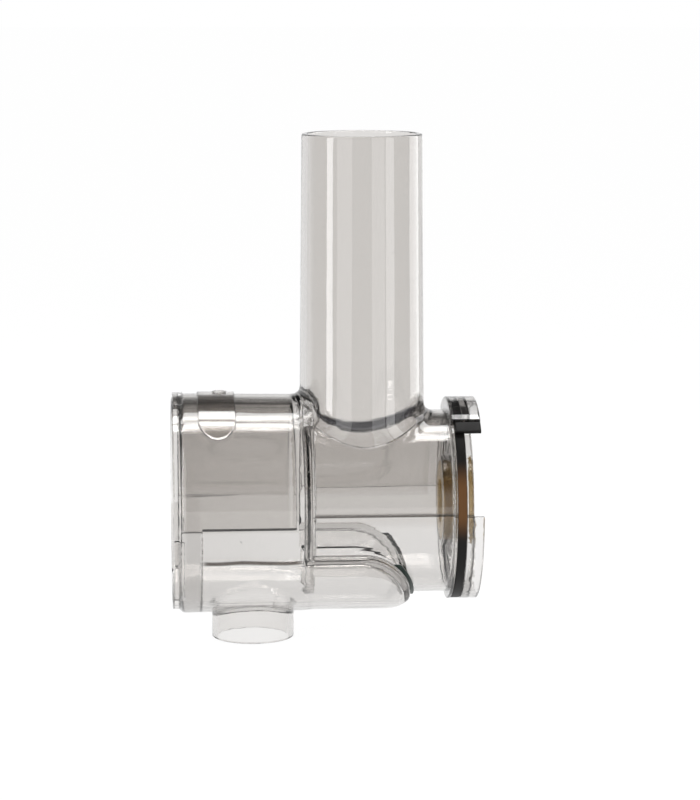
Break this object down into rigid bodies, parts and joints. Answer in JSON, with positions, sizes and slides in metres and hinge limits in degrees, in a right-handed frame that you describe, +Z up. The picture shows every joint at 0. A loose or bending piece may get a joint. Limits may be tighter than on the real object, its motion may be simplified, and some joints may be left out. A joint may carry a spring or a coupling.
{
  "type": "horizontal slow juicer drum",
  "caption": "Clear plastic juicing drum: strainer chamber, pressing barrel, tall feed tube, juice trough, downward spout and a bayonet flange with a seal and shaft bush.",
  "frame": {"origin": "on the drum's axis, in the rear face of the motor flange", "axes": "+X along the drum's axis towards the motor, +Z up the feed tube, +Y across the drum"},
  "size_m": [0.1274, 0.0932, 0.211],
  "materials": {
    "clear_copolyester": "polished, faint smoke tint",
    "black_silicone": "satin",
    "amber_bush": "moulded, translucent",
    "dark_gasket": "satin"
  },
  "bodies": {
    "drum": {"front_chamber": "clear_copolyester", "front_lip": "clear_copolyester", "end_cap_lug_top": "clear_copolyester", "end_cap_lug_far": "clear_copolyester", "end_cap_lug_near": "clear_copolyester", "lock_pad": "clear_copolyester", "lock_mark": "clear_copolyester", "chamber_liner": "clear_copolyester", "juice_spout": "clear_copolyester", "shoulder_wall": "clear_copolyester", "shoulder_bead_near": "clear_copolyester", "shoulder_bead_far": "clear_copolyester", "pressing_barrel": "clear_copolyester", "barrel_liner": "clear_copolyester", "feed_tube": "clear_copolyester", "juice_trough": "clear_copolyester", "trough_strip_near": "dark_gasket", "trough_strip_far": "dark_gasket", "end_wall": "clear_copolyester", "shaft_hub": "clear_copolyester", "flange_front_ring": "clear_copolyester", "flange_seal": "black_silicone", "flange_rear_ring": "clear_copolyester", "motor_lug": "clear_copolyester", "lug_stop_near": "black_silicone", "lug_stop_far": "black_silicone", "motor_skirt": "clear_copolyester"},
    "bush": {"shaft_bush": "amber_bush"}
  },
  "joints": [
    {"name": "bush_pull", "type": "slide", "parent": "drum", "child": "bush", "axis": [1, 0, 0], "range_m": [0, 0.014]}
  ]
}
